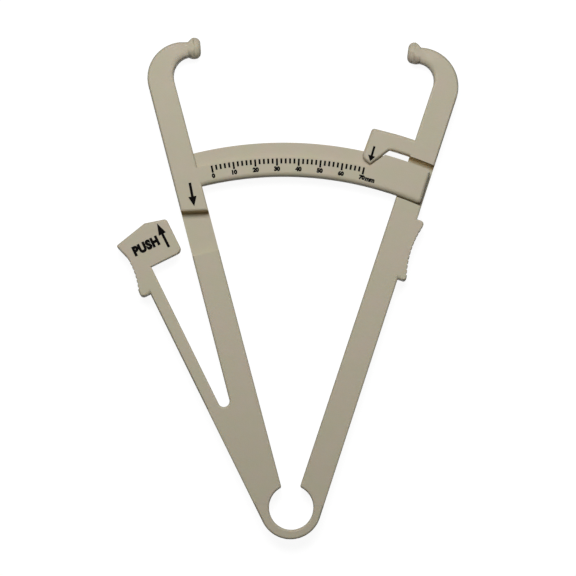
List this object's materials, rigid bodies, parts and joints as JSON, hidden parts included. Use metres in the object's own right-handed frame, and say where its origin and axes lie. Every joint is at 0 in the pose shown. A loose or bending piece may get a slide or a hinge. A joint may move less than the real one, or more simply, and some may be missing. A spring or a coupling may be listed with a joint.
{
  "type": "skinfold caliper",
  "caption": "One-piece moulded plastic skinfold caliper with sprung arms, round jaw pads, curved millimetre scale, pointer hook and thumb press lever.",
  "frame": {"origin": "centre of the outline's box on the flat back that the caliper lies on", "axes": "+X across the arms to the pointer side, +Y from the spring ring to the jaws, +Z out of the printed front"},
  "size_m": [0.1148, 0.1712, 0.008],
  "materials": {
    "cream_plastic": "satin moulded cream plastic with fine edge rounding and black printed marks"
  },
  "bodies": {
    "scale_arm": {"left_arm": "cream_plastic", "left_jaw": "cream_plastic", "left_jaw_pad": "cream_plastic", "scale_arc": "cream_plastic", "scale_end_stop": "cream_plastic", "hinge_ring": "cream_plastic", "lever_root": "cream_plastic"},
    "pointer_arm": {"right_arm": "cream_plastic", "right_jaw": "cream_plastic", "right_jaw_pad": "cream_plastic", "pointer_bracket": "cream_plastic", "finger_grip": "cream_plastic"},
    "press_lever": {"lever_blade": "cream_plastic", "thumb_grip": "cream_plastic", "press_tab": "cream_plastic"}
  },
  "joints": [
    {"name": "jaw_hinge", "type": "hinge", "parent": "scale_arm", "child": "pointer_arm", "pos_m": [0.00365, -0.07922, 0], "axis": [0, 0, 1], "range_deg": [0, 24.6], "stiffness_Nm_per_rad": 0.7, "springref_deg": -4.01, "deforming": ["hinge_ring"]},
    {"name": "lever_flex", "type": "hinge", "parent": "scale_arm", "child": "press_lever", "pos_m": [-0.02833, -0.03137, 0], "axis": [0, 0, 1], "range_deg": [-12.95, 0], "stiffness_Nm_per_rad": 0.3, "deforming": ["lever_blade"]}
  ]
}
